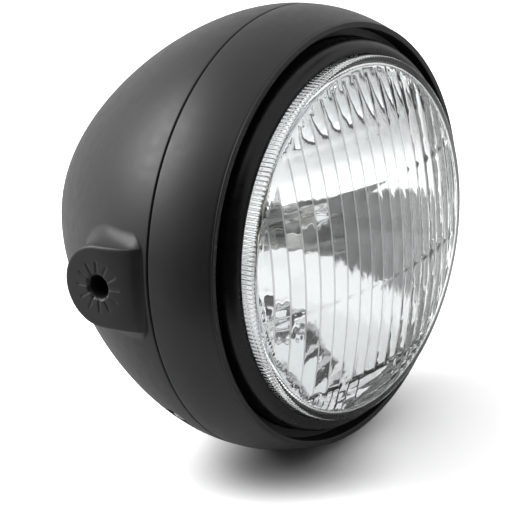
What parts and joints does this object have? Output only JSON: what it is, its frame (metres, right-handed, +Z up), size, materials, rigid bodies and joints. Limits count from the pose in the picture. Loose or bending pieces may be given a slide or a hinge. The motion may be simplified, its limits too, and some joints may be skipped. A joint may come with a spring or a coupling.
{
  "type": "motorcycle headlight",
  "caption": "Round side-mounted motorcycle headlight: egg-shaped shell, slim trim ring, domed fluted glass over a halogen bulb reflector.",
  "frame": {"origin": "centre of the box round the whole lamp, which lies on the optical axis", "axes": "-Y is the way the lamp looks, along the optical axis; +Z is up; X runs along the common axis of the two side bolts"},
  "size_m": [0.1776, 0.1486, 0.17],
  "materials": {
    "black_shell": "fine matt black, moulded",
    "black_bezel": "satin black, moulded",
    "lens_glass": "clear pressed glass",
    "sealant": "grey-black bonding bead",
    "mirror_coat": "vacuum-coated mirror on sheet steel",
    "zinc_steel": "zinc-plated",
    "rubber": "matt moulded rubber",
    "black_screw": "black-coated steel",
    "nickel": "nickel-plated",
    "bulb_glass": "clear thin glass",
    "tungsten": "dull grey wire",
    "spring_steel": "bright drawn wire",
    "black_socket": "black moulded"
  },
  "bodies": {
    "root": {"housing": "black_shell", "trim_ring": "black_shell", "inner_bezel": "black_bezel", "lens": "lens_glass", "lens_sealant": "sealant", "reflector": "mirror_coat", "retaining_ring": "zinc_steel", "ring_tongues": "zinc_steel", "retaining_screws": "zinc_steel", "housing_seal": "rubber", "trim_screws": "black_screw", "trim_nuts": "zinc_steel", "mount_nuts": "zinc_steel", "cable_grommet": "rubber", "bulb_collar": "zinc_steel", "bulb_base": "nickel", "bulb_glass": "bulb_glass", "bulb_supports": "nickel", "bulb_filaments": "tungsten", "bulb_dip_shield": "nickel", "bulb_terminals": "nickel", "bulb_clip": "spring_steel", "clip_screw": "zinc_steel", "bulb_boot": "rubber", "parking_grommet": "rubber", "parking_socket": "black_socket", "parking_bulb": "bulb_glass"}
  },
  "joints": []
}
